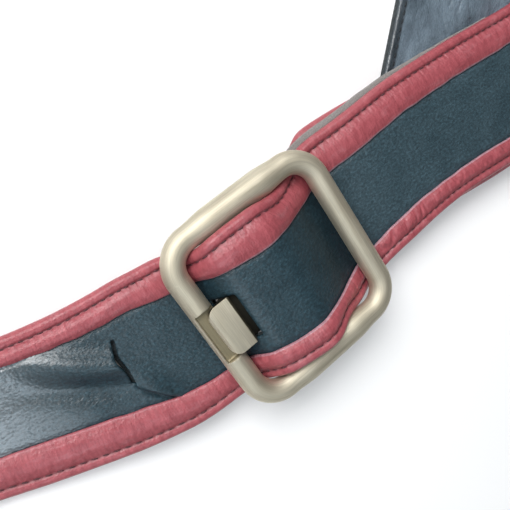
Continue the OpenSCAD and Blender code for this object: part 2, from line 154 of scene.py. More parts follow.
# The sockets of a node that mixes colours
FACTOR, COLOR_A, COLOR_B, MIXED = 0, 6, 7, 2


def blend(tree, a, b, share):
    """One colour changing by a share to another one, which may be plain."""
    mix = node(tree, "Mix", [(FACTOR, share), (COLOR_A, a)], data_type="RGBA")
    if isinstance(b, tuple):
        mix.inputs[COLOR_B].default_value = (*b, 1)
    else:
        join(tree, mix, [(COLOR_B, b)])
    return mix.outputs[MIXED]


def times(tree, a, b):
    """One colour multiplied by another."""
    mix = node(tree, "Mix", [(COLOR_A, a), (COLOR_B, b)], data_type="RGBA", blend_type="MULTIPLY")
    mix.inputs[FACTOR].default_value = 1.0
    return mix.outputs[MIXED]


# The light of the room at two places from -X (0) to +X (1), and its strength for each kind of ray
ROOM_LEVELS = ((0.45, 1.0), (0.8, 0.3))
ROOM_LIGHT, ROOM_GLOSS, BACKDROP = 0.38, 0.36, 1.0


def make_world():
    """A pale room that lights softly, darker towards +X, behind a white backdrop."""
    world = bpy.data.worlds.new("studio")
    bpy.context.scene.world = world
    world.use_nodes = True
    tree = world.node_tree
    tree.nodes.clear()
    way = node(tree, "TexCoord")
    half = node(tree, "Mapping", [("Vector", way.outputs["Generated"])], Location=(0.5, 0.5, 0.5),
                Scale=(0.5, 0.5, 0.5))
    parts = node(tree, "SeparateXYZ", [("Vector", half.outputs["Vector"])])
    level = ramp(tree, parts.outputs["X"], ROOM_LEVELS)
    path = node(tree, "LightPath")
    light = node(tree, "Background", [("Color", level)], Strength=ROOM_LIGHT).outputs[0]
    gloss = node(tree, "Background", [("Color", level)], Strength=ROOM_GLOSS).outputs[0]
    backdrop = node(tree, "Background", Color=(1, 1, 1, 1), Strength=BACKDROP).outputs[0]
    for ray, shown in (("Is Glossy Ray", gloss), ("Is Camera Ray", backdrop)):
        light = node(tree, "MixShader", [(0, path.outputs[ray]), (1, light), (2, shown)]).outputs[0]
    node(tree, "OutputWorld", [(0, light)])


# The floor: half its side and its depth below the strap, in metres, then its colour and its glow
FLOOR_HALF, FLOOR_DROP = 1.6, 0.0002
FLOOR_WHITE, FLOOR_GLOW = 0.97, 0.1


def make_floor():
    """A white table top that glows a little towards the camera."""
    corners = [(x * FLOOR_HALF, y * FLOOR_HALF, 0) for x, y in ((-1, -1), (1, -1), (1, 1), (-1, 1))]
    mesh = bpy.data.meshes.new("floor")
    mesh.from_pydata(corners, [], [(0, 1, 2, 3)])
    floor = linked("floor", mesh)
    floor.location = (0, 0, -FLOOR_DROP)
    m, tree, _ = new_material("floor")
    tree.nodes.clear()
    path = node(tree, "LightPath")
    share = node(tree, "Math", [(0, path.outputs["Is Camera Ray"])], operation="MULTIPLY")
    share.inputs[1].default_value = FLOOR_GLOW
    matte = node(tree, "BsdfDiffuse", Color=(FLOOR_WHITE, FLOOR_WHITE, FLOOR_WHITE, 1))
    glow = node(tree, "Emission")
    mix = node(tree, "MixShader", [(0, share.outputs[0]), (1, matte.outputs[0]), (2, glow.outputs[0])])
    node(tree, "OutputMaterial", [(0, mix.outputs[0])])
    mesh.materials.append(m)


def area_light(name, place, aim, size, power, tint=(1, 1, 1)):
    """A soft box of a width and height in metres."""
    data = bpy.data.lights.new(name, "AREA")
    data.shape = "RECTANGLE"
    data.size, data.size_y = size
    data.energy = power
    data.color = tint
    lamp = linked(name, data)
    lamp.location = Vector(to_row(place))
    direction = Vector(to_row(aim)) - lamp.location
    lamp.rotation_euler = direction.to_track_quat("-Z", "Y").to_euler()


make_camera()
make_world()
make_floor()
area_light("key", place=(-160, 600, 600), aim=(0, 0, 0), size=(0.7, 0.5), power=7.8)
area_light("strip", place=(120, 620, 600), aim=(0, 0, 0), size=(1.2, 0.3), power=2.0)
area_light("side", place=(-292, -183, 510), aim=(-82, 15, 0), size=(0.24, 0.24), power=0.78,
           tint=(0.78, 0.9, 1.0))
bpy.context.scene.view_settings.view_transform = "Standard"


# Sizes of the strap and the buckle. They are the CAD part's, but the slot in use (USED) is drawn
# closer round the tongue, the long strap is wider inside the frame (SNUG), and the straps drift aside
# from further left and over a longer way (DRIFT_LEAD, DRIFT_EXTRA)
HALF_BODY, HALF_EDGE, INSET = 1.25, 1.95, 0.7
STRAP_HALF, WAIST_HALF, BODY_HALF, WRAP_HALF = 24.3, 21.8, 21.8, 20.0
BODY_W = 45.0
FACE_T, CORE_T, LINING_T, SEAM = 1.0, 0.5, 0.8, 0.1
CORE_TOP, LINING_TOP = HALF_BODY - FACE_T - SEAM, LINING_T - HALF_BODY
BINDING_W, SEWING = 10.0, 3.3
BAR_R, SIDE_R = 3.7, 4.4
FRAME_X, FRAME_Y, CORNER_MID_R, SWELL = 26.8, 28.0, 8.9, 9.0
TAIL_UNDER, SHORT_UNDER, FLAP_UNDER, WRAP_UNDER = 7.45, 11.95, 13.95, 2.55
RISE, RISE_FROM, RISE_LEN = 1.9, 30.5, 20.0
TAIL_LEN, SHORT_LEN, FLAP_LEN, TRIM_X, NECK_LEN = 150.0, 170.0, 38.0, 15.0, 3.0
# Each bend: how far aside it starts and ends, where it starts, and its length
TAIL_BEND = (3.5, -1.0, 60.0, 70.0)
SHORT_BEND = (6.5, -3.0, 36.0, 80.0)
YAW_R, YAW_ANGLE, YAW_START, LEFT_DRIFT = 220.0, 26.0, 10.0, 2.0
DRIFT_FROM, DRIFT_LEN, DRIFT_LEAD, DRIFT_EXTRA = 14.0, 22.0, 8.0, 10.0
DESCENT, FLAT_LEN, TWIST_LEN, LOOP_R = 75.0, 95.0, 95.0, 70.0
TAPER_FROM, TAPER_LEN, WAIST_LEN = 10.0, 70.0, 10.0
TAB_W, TAB_LEN, TAB_T, HOLE_D, SLIT_LEN, SLIT_W = 50.0, 85.0, 1.4, 9.0, 9.0, 1.2
STRAP_END, LAP_RUN, LAP_RISE = 60.0, 15.0, 3.2
TUCK_HOLE, TUCK_ANGLE = (82.0, 2.5), 42.0
SHORT_HOLE = (230.0, -3.0)
# Each bar that the long strap bends round: x, z, and the radius of its middle line
RIGHT_PIN = (0.0, FRAME_Z, 6.05)
RIGHT_BAR = (FRAME_X, FRAME_Z, -TAIL_UNDER)
CREST = (-13.0, FRAME_Z - 0.15, 5.0)
LEFT_BAR = (-FRAME_X, FRAME_Z, -TAIL_UNDER)
USED_LEFT, USED_RIGHT, USED_HALF, USED_R, USED_ASIDE = -20.95, -15.4, 7.9, 0.9, -0.22
SLOT_SPARE_U, SLOT_ASIDE, SLOT_LEN = 25.65, 2.0, 15.0
SNUG_HALF, SNUG_ARCH, ARCH_SPREAD, SNUG_TO, SNUG_RUN = 22.75, 1.05, 11.0, 23.5, 8.0
# How far past the tail's tip the long strap's line starts, and its step left of the buckle
PAST_TIP, LEFT_STEP = 5.0, 0.7


def ease(v):
    c = np.clip(v, 0, 1)
    return c * c * (3 - 2 * c)


def ease_slope(v):
    c = np.clip(v, 0, 1)
    return 6 * c * (1 - c)


def bump(v):
    """A smooth bell that is 1 at 0 and small past 2."""
    return np.exp(-np.square(v))


def lattice(ix, iy, seed):
    h = (ix * 374761393 + iy * 668265263 + seed * 974711) & 0xFFFFFFFF
    h = ((h ^ (h >> 13)) * 1274126177) & 0xFFFFFFFF
    return ((h ^ (h >> 16)) & 0xFFFF) / 32767.5 - 1


def noise(x, y, seed):
    """Smooth noise from -1 to 1 with one lump per unit."""
    x, y = np.broadcast_arrays(np.asarray(x, float), np.asarray(y, float))
    ix, iy = np.floor(x).astype(np.int64), np.floor(y).astype(np.int64)
    fx, fy = ease(x - ix), ease(y - iy)
    low = lattice(ix, iy, seed) * (1 - fx) + lattice(ix + 1, iy, seed) * fx
    high = lattice(ix, iy + 1, seed) * (1 - fx) + lattice(ix + 1, iy + 1, seed) * fx
    return low * (1 - fy) + high * fy


# Step along a middle line, and the distance under which two points of it are one
EVEN, SAME = 0.25, 1e-4


def evened(rows):
    """The same rows at even steps along the line."""
    rows = np.asarray(rows, float)
    step = np.linalg.norm(np.diff(rows[:, :3], axis=0), axis=1)
    moved = step > SAME
    rows = rows[np.r_[True, moved]]
    along = np.r_[0, np.cumsum(step[moved])]
    s = np.linspace(0, along[-1], int(along[-1] / EVEN))
    return np.stack([np.interp(s, along, c) for c in rows.T], -1)


def smoothed(values, spread):
    """Values blurred along the line, with straight ends kept."""
    reach = int(4 * spread)
    weights = bump(np.arange(-reach, reach + 1) / (1.414 * spread))
    padded = np.pad(values, reach, mode="reflect", reflect_type="odd")
    return np.convolve(padded, weights / weights.sum(), mode="valid")


class Path:
    """The middle line of a strap, in rows of x, y, z, heading, pitch, roll and half width.

    Its length is counted from the centre bar, and grows from the tip towards the far end."""

    def __init__(self, rows, spread):
        rows = evened(rows)
        self.rows = np.stack([smoothed(c, spread / EVEN) for c in rows.T], -1)
        step = np.linalg.norm(np.diff(self.rows[:, :3], axis=0), axis=1)
        along = np.r_[0, np.cumsum(step)]
        self.s = along - along[np.argmax(self.rows[:, 0] <= 0)]

    def at(self, s):
        return np.stack([np.interp(s, self.s, c) for c in self.rows.T], -1)

    def find(self, x):
        """Length at which the line first passes x."""
        return self.s[np.argmax(self.rows[:, 0] <= x)]

    def half(self, s):
        return np.interp(s, self.s, self.rows[:, 6])

    def place(self, s, v, h):
        s, v, h = np.broadcast_arrays(np.asarray(s, float), v, h)
        r = self.at(s)
        a, p, q = (np.radians(r[..., k]) for k in (3, 4, 5))
        ahead = np.stack([np.cos(p) * np.cos(a), np.cos(p) * np.sin(a), np.sin(p)], -1)
        level = np.stack([np.sin(a), -np.cos(a), np.zeros_like(a)], -1)
        rise = np.cross(level, ahead)
        c, d = np.cos(q)[..., None], np.sin(q)[..., None]
        return r[..., :3] + (c * level + d * rise) * v[..., None] + (c * rise - d * level) * h[..., None]


def heading_dir(a):
    return np.array([math.cos(math.radians(a)), math.sin(math.radians(a))])


def right_dir(a):
    return np.array([math.sin(math.radians(a)), -math.cos(math.radians(a))])


def run_pitch(a, b):
    """Pitch of the straight run from one bar to the next."""
    d, h = a[0] - b[0], b[1] - a[1]
    return math.degrees(math.atan2(h, d) - math.asin((a[2] - b[2]) / math.hypot(d, h)))


def round_bend(b, start, end):
    """Rows of x, z and pitch round a bar."""
    p = np.linspace(start, end, max(2, int(abs(end - start) / 2) + 1))
    return np.c_[b[0] + b[2] * np.sin(np.radians(p)), b[1] + b[2] * np.cos(np.radians(p)), p]


def right_run(z, far_x):
    """Rows of x, z and pitch right of the buckle, which rise a little away from it."""
    x = np.arange(far_x, RISE_FROM + RISE_LEN, -1.0)
    v = np.linspace(1, 0.03, 30)
    slope = np.degrees(np.arctan(RISE * ease_slope(v) / RISE_LEN))
    level = np.c_[x, np.full(len(x), z + RISE), np.zeros(len(x))]
    return np.r_[level, np.c_[RISE_FROM + v * RISE_LEN, z + RISE * ease(v), -slope]]


def drawn_in(x):
    """Half width of the short strap, which is narrower inside the frame."""
    return WAIST_HALF + (STRAP_HALF - WAIST_HALF) * ease((np.abs(x) - FRAME_X + BAR_R / 2) / WAIST_LEN)


def snug(x):
    """Half width of the long strap, which fills the frame from side bar to side bar."""
    arch = SNUG_ARCH * bump(x / ARCH_SPREAD)
    return SNUG_HALF + arch + (STRAP_HALF - SNUG_HALF) * ease((np.abs(x) - SNUG_TO) / SNUG_RUN)


def side_way(x, bend):
    """How far a strap lies to the side, right of the buckle."""
    first, last, start, run = bend
    aside = first + (last - first) * ease((x - start) / run)
    return ease((x - DRIFT_FROM + DRIFT_LEAD) / (DRIFT_LEN + DRIFT_EXTRA)) * aside


def line_rows(q, bend, half):
    x = q[:, 0]
    turn = np.arcsin(np.maximum(0, -x - YAW_START) / YAW_R)
    y = side_way(x, bend) + YAW_R * (1 - np.cos(turn))
    flat = np.full(len(x), 180.0)
    return np.c_[x, y, q[:, 1], flat, q[:, 2], 0 * x, half(x)]


BAR_TURN = math.degrees(math.asin((FRAME_X - YAW_START) / YAW_R))
YAW_RUN = YAW_R * math.radians(YAW_ANGLE - BAR_TURN)


def left_turn(u):
    return BAR_TURN + np.minimum(YAW_ANGLE - BAR_TURN, np.degrees(u / YAW_R))


def left_plan(u):
    t = left_turn(u)
    a, past = np.radians(t), np.maximum(0, u - YAW_RUN)
    x = -YAW_START - YAW_R * np.sin(a) - past * np.cos(a)
    y = YAW_R * (1 - np.cos(a)) + LEFT_DRIFT * ease(u / DRIFT_LEN) + past * np.sin(a)
    return x, y


def left_rows():
    u = np.arange(LEFT_STEP, FLAT_LEN, LEFT_STEP)
    x, y = left_plan(u)
    v, drop = u / DESCENT, FRAME_Z - TAIL_UNDER - HALF_EDGE
    heading = 180 - left_turn(u) * ease(u / DRIFT_LEN)
    pitch = -np.degrees(np.arctan(drop * ease_slope(v) / DESCENT))
    taper = STRAP_HALF - (STRAP_HALF - BODY_HALF) * ease((u - TAPER_FROM) / TAPER_LEN)
    half = np.minimum(snug(x), taper)
    return np.c_[x, y, HALF_EDGE + drop * (1 - ease(v)), heading, pitch, 0 * u, half]


def standing(plan, heading, roll, lift=0.0):
    a = math.radians(roll)
    z = BODY_W / 2 * math.sin(a) + HALF_EDGE * math.cos(a) + lift
    return [plan[0], plan[1], z, heading, 0, roll, BODY_HALF]


def loop_rows():
    steps = np.linspace(0, 1, 80)
    hole, back = np.array(TUCK_HOLE), heading_dir(TUCK_ANGLE)
    away = heading_dir(180 - YAW_ANGLE)
    start = np.array(left_plan(FLAT_LEN))
    twist_end = TAB_LEN + LAP_RUN
    loop_out = hole + (twist_end + TWIST_LEN) * back
    first = start + TWIST_LEN * away + LOOP_R * right_dir(180 - YAW_ANGLE)
    second = loop_out + LOOP_R * right_dir(180 + TUCK_ANGLE)
    across = second - first
    back_dir = math.degrees(math.atan2(across[1], across[0]))
    rows = [standing(start + v * TWIST_LEN * away, 180 - YAW_ANGLE, 90 * ease(v)) for v in steps]
    for centre, a0, a1 in ((first, 180 - YAW_ANGLE, back_dir), (second, back_dir, TUCK_ANGLE - 180)):
        for a in np.linspace(a0, a1, 60):
            rows.append(standing(centre - LOOP_R * right_dir(a), a, 90))
    for v in steps:
        rows.append(standing(loop_out - v * TWIST_LEN * back, TUCK_ANGLE - 180, 90 - 90 * ease(v)))
    for v in np.linspace(0, 1, 16):
        plan = hole + (twist_end - v * LAP_RUN) * back
        rows.append(standing(plan, TUCK_ANGLE - 180, 0, LAP_RISE * ease(v)))
    rows.append(standing(hole + STRAP_END * back, TUCK_ANGLE - 180, 0, LAP_RISE))
    return rows


def long_rows():
    pin, crest = run_pitch(RIGHT_BAR, RIGHT_PIN), run_pitch(RIGHT_PIN, CREST)
    left = run_pitch(CREST, LEFT_BAR)
    line = np.r_[right_run(FRAME_Z - TAIL_UNDER, TAIL_LEN + PAST_TIP), round_bend(RIGHT_BAR, 0, pin),
                 round_bend(RIGHT_PIN, pin, crest), round_bend(CREST, crest, left),
                 round_bend(LEFT_BAR, left, 0)]
    return np.r_[line_rows(line, TAIL_BEND, snug), left_rows(), loop_rows()]


def short_rows():
    bar, wrap = (FRAME_X, FRAME_Z, -SHORT_UNDER), (0, FRAME_Z, WRAP_UNDER)
    flap = (FRAME_X, FRAME_Z, FLAP_UNDER)
    rise, turn = run_pitch(bar, wrap), run_pitch(wrap, flap) - 360
    line = np.r_[right_run(FRAME_Z - SHORT_UNDER, SHORT_LEN), round_bend(bar, 0, rise)]
    rows = line_rows(line, SHORT_BEND, drawn_in)
    foot = line[-1]
    slope = math.tan(math.radians(rise))
    for x in np.linspace(foot[0], TRIM_X - NECK_LEN, 12)[1:]:
        half = drawn_in(x) + (WRAP_HALF - drawn_in(x)) * ease((TRIM_X - x) / NECK_LEN)
        z = foot[1] + (foot[0] - x) * slope
        rows = np.r_[rows, [[x, side_way(x, SHORT_BEND), z, 180, rise, 0, half]]]
    wrapped = np.r_[round_bend(wrap, rise, turn), round_bend(flap, turn, -180),
                    [[FLAP_LEN, FRAME_Z - FLAP_UNDER, -180]]]
    x = wrapped[:, 0]
    return np.r_[rows, np.c_[x, 0 * x, wrapped[:, 1], 0 * x + 180, wrapped[:, 2], 0 * x, 0 * x + WRAP_HALF]]


# The stretch of the long strap that is modelled most finely
VIEW_RIGHT, VIEW_LEFT = 132, -128

long_path = Path(long_rows(), spread=2.5)
short_path = Path(short_rows(), spread=0.4)
S_TIP, S_END = long_path.find(TAIL_LEN), long_path.s[-1]
S_VIEW = (long_path.find(VIEW_RIGHT), long_path.find(VIEW_LEFT))
S_BAR = long_path.find(-FRAME_X)
S_SPARE = S_BAR + SLOT_SPARE_U


# The edges of the bindings along the long strap: lengths, then distances from its middle line,
# for the outer edge and the inner border of the far binding (1) and the near one (-1)
OUTER = {
    1: ([-158, -132, -117, -102, -88, -70, -55, -43, -34, -27, -20, -9, 0, 9, 17, 22, 27, 31, 34, 37, 43, 55,
         72, 88, 102, 130],
        [25, 24.7, 25.6, 26, 25.7, 25.7, 25.25, 25, 25.4, 24.6, 24.6, 25.2, 25.6, 25.5, 25.1, 25, 25.7, 26.8,
         27.1, 27, 26.3, 25, 23.75, 22.8, 22.3, 22.5]),
    -1: ([-158, -130, -102, -92, -76, -60, -45, -38, -30, -24, -14, -8, 3, 10, 17, 23, 28, 37, 43, 49, 56, 63,
          76, 90, 102, 130],
         [25.4, 25.4, 25.2, 24.6, 24.0, 24.2, 25.1, 26.1, 26.4, 26.2, 25.8, 25.6, 25.3, 24.4, 23.6, 24, 24.6,
          24.9, 26, 26.7, 26.1, 25.4, 23.85, 22.8, 21.9, 22.5]),
}
BORDER = {
    1: ([-158, -123, -113, -98, -84, -70, -60, -46, -38, -22, -13, -3, 4, 10.6, 16, 23, 30, 37, 42, 60, 76,
         91, 110, 160],
        [15, 12.9, 13.6, 13.7, 13.4, 13.3, 12.9, 12.1, 12.2, 12.2, 12.3, 12.7, 13, 13.7, 14.6, 15, 15.3,
         15.5, 15.9, 15.1, 14.8, 14.6, 14, 12.5]),
    -1: ([-158, -130, -105, -95, -80, -65, -50, -37, -22, -14, -3, 5, 12, 17, 23, 36, 44, 50, 58, 72, 85, 98,
          130, 160],
         [15, 16.3, 16.2, 15.6, 15.2, 14.9, 15.1, 17.5, 16.9, 17.2, 16.1, 16, 15, 14, 14.4, 14.8, 15.4, 15.3,
          13.1, 11, 10.1, 9.6, 10, 12.5]),
}
SIDES = {1: "far", -1: "near"}
# The gap to the side of the frame, the room where there is no frame, and how far the edges are smoothed
CLEARANCE, FREE = 0.1, 99.0
EDGE_SPREAD, BORDER_SPREAD = 2.5, 4.0


def room(side):
    """How far out the strap's edge may reach and stay clear of the side of the frame."""
    x, y, z, _, pitch = long_path.rows[:, :5].T
    past = np.maximum(0, np.abs(x) - FRAME_X + CORNER_MID_R)
    bar_y = FRAME_Y - CORNER_MID_R + np.sqrt(np.maximum(0, CORNER_MID_R ** 2 - past ** 2))
    swell = ease((FRAME_X - CORNER_MID_R - np.abs(x)) / SWELL)
    reach = BAR_R + (SIDE_R - BAR_R) * swell + HALF_EDGE + CLEARANCE
    apart = (z - FRAME_Z) * np.cos(np.radians(pitch))
    gap = np.sqrt(np.maximum(0, reach ** 2 - apart ** 2))
    inside = (np.abs(x) < FRAME_X) & (gap > 0) & (long_path.s < S_BAR)
    return np.where(inside, bar_y - side * y - gap + HALF_EDGE, FREE)


outer = {k: smoothed(np.minimum(np.interp(long_path.s, *OUTER[k]), room(k)), EDGE_SPREAD / EVEN)
         for k in SIDES}
border = {k: smoothed(np.interp(long_path.s, *BORDER[k]), BORDER_SPREAD / EVEN) for k in SIDES}


def edge_at(path, s, side):
    """Distance of a strap's outer edge from its middle line."""
    if path is long_path:
        return np.interp(s, long_path.s, outer[side])
    return path.half(s) + INSET


def strip_at(path, s, side):
    """Width of a binding on the face of a strap."""
    return np.interp(s, long_path.s, outer[side] - border[side]) if path is long_path else BINDING_W + 0 * s


def steps_along(start, end, close, fine, coarse):
    """Lengths from start to end, in fine steps along one stretch and in coarse steps past it."""
    a, b = max(start, close[0]), min(end, close[1])
    parts = []
    for lo, hi, step in ((start, a, coarse), (a, b, fine), (b, end, coarse)):
        if hi > lo:
            parts.append(np.linspace(lo, hi, max(2, math.ceil((hi - lo) / step) + 1))[:-1])
    return np.r_[np.concatenate(parts), end]


def set_lie(mesh, lay):
    """Shade a mesh smooth, with the lie of its leather or bar as an attribute."""
    mesh.attributes.new("lay", "FLOAT_VECTOR", "POINT").data.foreach_set("vector", np.ravel(lay))
    mesh.polygons.foreach_set("use_smooth", [True] * len(mesh.polygons))
    mesh.update()


def new_object(name, points, faces, lay):
    """A mesh object from points in millimetres and their lie."""
    mesh = bpy.data.meshes.new(name)
    mesh.from_pydata(to_row(points).reshape(-1, 3).tolist(), [], faces)
    set_lie(mesh, lay)
    return linked(name, mesh)


def grid_faces(n, m, closed=False, keep=None, flip=False):
    """Quads of a grid, which face up where its rows run along -X and its columns along +Y."""
    i, k = np.meshgrid(np.arange(n - 1), np.arange(m if closed else m - 1), indexing="ij")
    j = (k + 1) % m
    quads = np.stack([i * m + k, i * m + j, (i + 1) * m + j, (i + 1) * m + k], -1)
    if flip:
        quads = quads[..., ::-1]
    return quads[keep] if keep is not None else quads.reshape(-1, 4)


def capped_faces(n, m):
    caps = [list(range(m - 1, -1, -1)), list(range((n - 1) * m, n * m))]
    return grid_faces(n, m, closed=True).tolist() + caps


def tube(name, points, lay):
    """A closed solid from rings of points, capped at both ends."""
    n, m = points.shape[:2]
    return new_object(name, points, capped_faces(n, m), lay)


# The bow of the cut slit: its depth, where it is deepest and how far it spreads, from the slit's middle
SLIT_BOW, BOW_AT, BOW_SPREAD = 1.0, 2.0, 3.5

# A slot in a strap: its middle along and across, half its size each way, its corner radius and its bow
Slot = namedtuple("Slot", "s v half_s half_v r bow")


def bowed(b):
    """How much of its bow a cut slit has at a distance from its middle."""
    return bump((b - BOW_AT) / BOW_SPREAD)


def slot_distance(s, v, slot):
    """How far a point of the strap lies outside a slot with rounded corners."""
    a = np.abs(s - slot.s - slot.bow * bowed(v - slot.v)) - slot.half_s + slot.r
    b = np.abs(v - slot.v) - slot.half_v + slot.r
    return np.hypot(np.maximum(a, 0), np.maximum(b, 0)) + np.minimum(np.maximum(a, b), 0) - slot.r


def middle_of(d):
    """The mean of the corners of each cell of a grid."""
    return (d[1:, 1:] + d[1:, :-1] + d[:-1, 1:] + d[:-1, :-1]) / 4


# The step with which the slope of an outline is measured
NUDGE = 0.01


def snap(x, y, outline, cut):
    """Move the grid points beside the cut cells onto the outline."""
    touch = np.zeros(x.shape, int)
    kept = np.zeros(x.shape, int)
    for di in (0, 1):
        for dj in (0, 1):
            touch[di:di + cut.shape[0], dj:dj + cut.shape[1]] += cut
            kept[di:di + cut.shape[0], dj:dj + cut.shape[1]] += ~cut
    edge = (touch > 0) & (kept > 0)
    d = outline(x, y)
    gx = (outline(x + NUDGE, y) - outline(x - NUDGE, y)) / (2 * NUDGE)
    gy = (outline(x, y + NUDGE) - outline(x, y - NUDGE)) / (2 * NUDGE)
    x[edge] -= (d * gx)[edge]
    y[edge] -= (d * gy)[edge]


def thicken(obj, thickness):
    """Give a sheet its thickness, down from its top."""
    solid = obj.modifiers.new("thickness", "SOLIDIFY")
    solid.thickness = thickness * MM
    solid.offset = -1


def layer(name, path, s, v, top, thickness, slots=()):
    """A leather sheet over the lengths s and the shares v of its width, with its slots cut out."""
    half = path.half(s)[:, None]
    s2, v2 = (a.copy() for a in np.broadcast_arrays(s[:, None], half * v[None, :]))
    keep = np.ones((len(s) - 1, len(v) - 1), bool)
    for slot in slots:
        outline = partial(slot_distance, slot=slot)
        cut = middle_of(outline(s2, v2)) < 0
        keep &= ~cut
        snap(s2, v2, outline, cut)
    h = top(s2, v2) if callable(top) else np.full(s2.shape, top)
    points = path.place(s2, v2, h)
    lay = np.stack([s2, v2, h], -1)
    faces = grid_faces(len(s), len(v), keep=keep).tolist()
    obj = new_object(name, points, faces, lay)
    thicken(obj, thickness)
    return obj


used_from, used_to = long_path.find(USED_RIGHT), long_path.find(USED_LEFT)
USED = Slot((used_from + used_to) / 2, USED_ASIDE, (used_to - used_from) / 2, USED_HALF, USED_R, 0.0)
SLIT_S, SLIT_V, SLIT_HALF, SLIT_R = S_SPARE + 1, SLOT_ASIDE + 0.5, 0.6, 0.5
SPARE = Slot(SLIT_S, SLIT_V, SLIT_HALF, SLOT_LEN / 2, SLIT_R, SLIT_BOW)

# The face's pillow and its dip beside the bindings, then its pocket, valley and crease by the spare slot
PILLOW, PILLOW_HALF, DIP, DIP_SPREAD = 0.3, 15.0, 0.35, 0.8
POCKET, VALLEY, CREASE, CREASE_LINE = 3.0, 1.4, 1.8, 1.1


def face_top(s, v):
    """Height of the long strap's face: pillowed, with a pocket and a crease by the spare slot."""
    h = HALF_BODY + PILLOW * (1 - np.square(v / PILLOW_HALF))
    for side in (1, -1):
        inner = side * (edge_at(long_path, s, side) - strip_at(long_path, s, side))
        h = h - DIP * bump((v - inner) / DIP_SPREAD)
    b = v - SLIT_V
    a = s - SLIT_S - SLIT_BOW * bowed(b)
    left = ease(a / 0.8 + 0.5)
    crest = 0.2 + 0.42 * np.maximum(0, a)
    pocket = bump(np.maximum(0, a - 9) / 17) * bump((b - crest) / np.where(b > crest, 3.6, 5.0))
    valley = bump((a - 11) / 15) * bump((b + 8.5 - crest) / 4)
    h = h + left * (POCKET * pocket - VALLEY * valley)
    crease = -8.5 + 1.05 * a
    over = ease((b - crease) / 1.4 + 0.5) * bump((b - crease) / 8) * bump((a + 4.5) / 6)
    line = bump((b - crease + 0.6) / 0.8) * bump((a + 4.5) / 4.5)
    h = h + (1 - left) * (CREASE * over - CREASE_LINE * line)
    return h + 0.06 * noise(s / 5, v / 4, 3) + 0.04 * noise(s / 2.2, v / 2, 4)


# Where a binding's face and underside have their points, as distances from its edge
PROFILE_D = np.array([10.0, 9.97, 9.85, 9.6, 9.2, 8.6, 7.9, 7.2, 6.5, 5.8, 5.1, 4.6, 4.2, 3.85, 3.55, 3.3,
                      3.05, 2.75, 2.4, 2.0, 1.6, 1.2, 0.8, 0.5, 0.25, 0.08, 0.0])
UNDER_D = np.array([0.08, 0.3, 0.7, 1.4, 2.6, 3.3, 4.0, 6.0, 9.6, 10.0])

# The rolled edge of a binding, the groove that its sewing lies in, and its inner border
ROLL, ROLL_R = 2.05, 1.7
GROOVE, GROOVE_SPREAD = 0.55, 0.55
HEM, HEM_FROM, HEM_LEN = 0.8, 9.5, 0.5


def profile_height(d):
    """Height of a folded binding over the middle of the strap, at a distance from its edge."""
    roll = ROLL * np.sqrt(np.maximum(0, 1 - np.square(np.maximum(0, ROLL_R - d) / ROLL_R)))
    groove = GROOVE * bump((d - SEWING) / GROOVE_SPREAD)
    inner = HEM * (1 - np.sqrt(np.maximum(0, 1 - np.square(np.clip((d - HEM_FROM) / HEM_LEN, 0, 1)))))
    return roll - groove - inner


# The length of a stitch, how deep it pulls the leather in, and the depth of the wrinkles and ripples
STITCH, PULL, WRINKLE, RIPPLE = 3.0, 0.2, 0.045, 0.04

# What marks the underside and the inside of a binding in the third number of its lie
UNDER_MARK, INSIDE_MARK = 20, 40


def binding(name, path, s, side, puff, gather):
    """A strip folded over one edge of a strap. Its puff and gathers may change along its length."""
    s, puff, gather = (np.reshape(a, (-1, 1)) for a in (s, puff, gather))
    edge, w = edge_at(path, s, side), strip_at(path, s, side)
    d0 = PROFILE_D[None, :]
    over = ease((d0 - 3.7) / 2.2) * (1 - ease((d0 - 7.6) / 2.3))
    d = np.where(d0 > SEWING, SEWING + (d0 - SEWING) * (w - SEWING) / (BINDING_W - SEWING), d0)
    seed = 11 + (side > 0) + 2 * (path is short_path)
    d = d + ease((d0 - 8) / 2) * 0.2 * noise(s / 4.5, 0, seed)
    h = profile_height(d0) + puff * over
    skew = s + 0.35 * side * d
    wrinkle = 0.6 * noise(skew / 1.1, d / 3.5, seed + 5) + 0.4 * noise(skew / 0.6, d / 2.2, seed + 9)
    waves = noise((s + 0.25 * d) / 2.4, d / 12, seed + 15)
    fold = 0.5 * waves - 1.3 * np.power(np.maximum(0, 1 - np.abs(waves) / 0.3), 1.5)
    h = h + over * (WRINKLE * wrinkle + gather * fold) + RIPPLE * noise(s / 2.5, d0 / 1.2, seed + 20)
    pull = np.power(0.5 + 0.5 * np.cos(2 * math.pi * s / STITCH), 3)
    h = h - PULL * (pull - 0.4) * bump((d0 - SEWING - 0.25) / 0.7)
    under = -np.minimum(profile_height(np.minimum(UNDER_D, HEM_FROM)), HALF_EDGE)
    ones = np.ones(s.shape)
    inside_d = np.concatenate([9.9 * ones, 0.9 * ones, 0.9 * ones, w - 0.15], 1)
    inside_h = np.array([-1.3, -1.3, 1.2, 1.2])
    all_d = np.concatenate([d, UNDER_D * ones, inside_d], 1)
    all_h = np.concatenate([h, under * ones, inside_h * ones], 1)
    kind = np.concatenate([d0 * ones, UNDER_MARK + UNDER_D * ones, INSIDE_MARK + 0 * inside_d], 1)
    points = path.place(s, side * (edge - all_d), all_h)
    if side < 0:
        points, all_d, kind = points[:, ::-1], all_d[:, ::-1], kind[:, ::-1]
    lay = np.stack(np.broadcast_arrays(s, side * all_d, kind), -1)
    return tube(name, points, lay)


